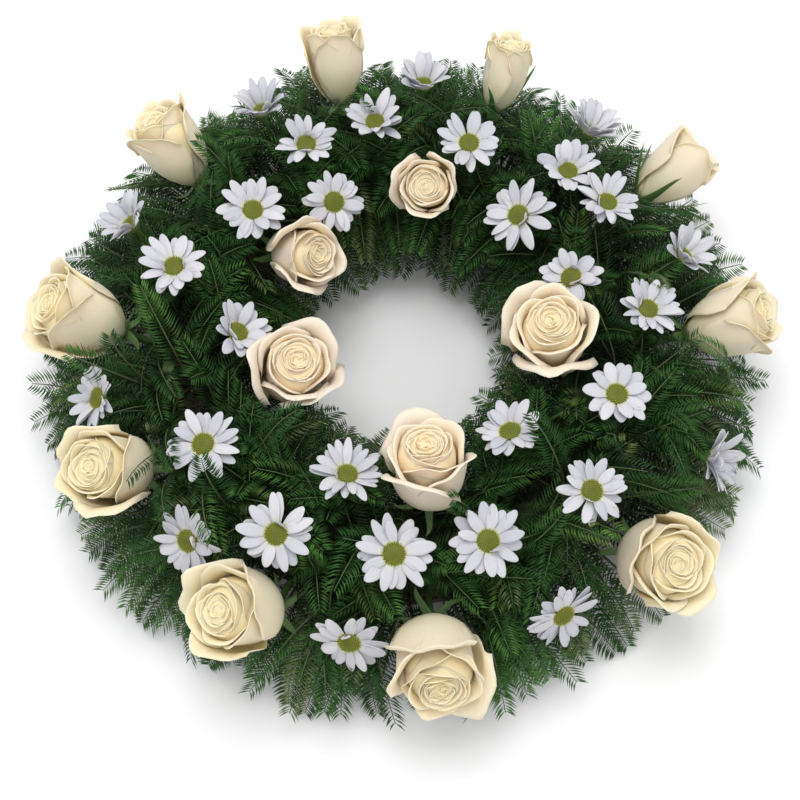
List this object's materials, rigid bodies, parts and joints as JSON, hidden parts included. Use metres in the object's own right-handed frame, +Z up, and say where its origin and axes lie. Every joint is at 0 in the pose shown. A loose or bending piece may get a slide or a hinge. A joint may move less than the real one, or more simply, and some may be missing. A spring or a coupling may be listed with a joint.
{
  "type": "funeral wreath",
  "caption": "Round funeral wreath of fir sprays on a straw ring, set with cream roses and white daisy chrysanthemums, lying flat.",
  "frame": {"origin": "centre of the wreath's footprint, on the surface that it lies on", "axes": "+Z up, out of the flowered side; +Y towards the top of the wreath as it is read, +X to its right"},
  "size_m": [0.591, 0.59, 0.1617],
  "materials": {
    "straw": "rough",
    "fir": "satin",
    "rose_cream": "soft satin",
    "daisy_white": "soft satin"
  },
  "bodies": {
    "root": {"straw_ring": "straw", "fir_bunch_01": "fir", "fir_bunch_02": "fir", "fir_bunch_03": "fir", "fir_bunch_04": "fir", "fir_bunch_05": "fir", "fir_bunch_06": "fir", "fir_bunch_07": "fir", "fir_bunch_08": "fir", "fir_bunch_09": "fir", "fir_bunch_10": "fir", "fir_bunch_11": "fir", "fir_bunch_12": "fir", "rose_01": "rose_cream", "rose_02": "rose_cream", "rose_03": "rose_cream", "rose_04": "rose_cream", "rose_05": "rose_cream", "rose_06": "rose_cream", "rose_07": "rose_cream", "rose_08": "rose_cream", "rose_09": "rose_cream", "rose_10": "rose_cream", "rose_11": "rose_cream", "rose_12": "rose_cream", "rose_13": "rose_cream", "rose_14": "rose_cream", "rose_15": "rose_cream", "daisy_01": "daisy_white", "daisy_02": "daisy_white", "daisy_03": "daisy_white", "daisy_04": "daisy_white", "daisy_05": "daisy_white", "daisy_06": "daisy_white", "daisy_07": "daisy_white", "daisy_08": "daisy_white", "daisy_09": "daisy_white", "daisy_10": "daisy_white", "daisy_11": "daisy_white", "daisy_12": "daisy_white", "daisy_13": "daisy_white", "daisy_14": "daisy_white", "daisy_15": "daisy_white", "daisy_16": "daisy_white", "daisy_17": "daisy_white", "daisy_18": "daisy_white", "daisy_19": "daisy_white", "daisy_20": "daisy_white", "daisy_21": "daisy_white", "daisy_22": "daisy_white", "daisy_23": "daisy_white", "daisy_24": "daisy_white", "daisy_25": "daisy_white", "daisy_26": "daisy_white", "daisy_27": "daisy_white", "daisy_28": "daisy_white", "daisy_29": "daisy_white", "daisy_30": "daisy_white"}
  },
  "joints": []
}
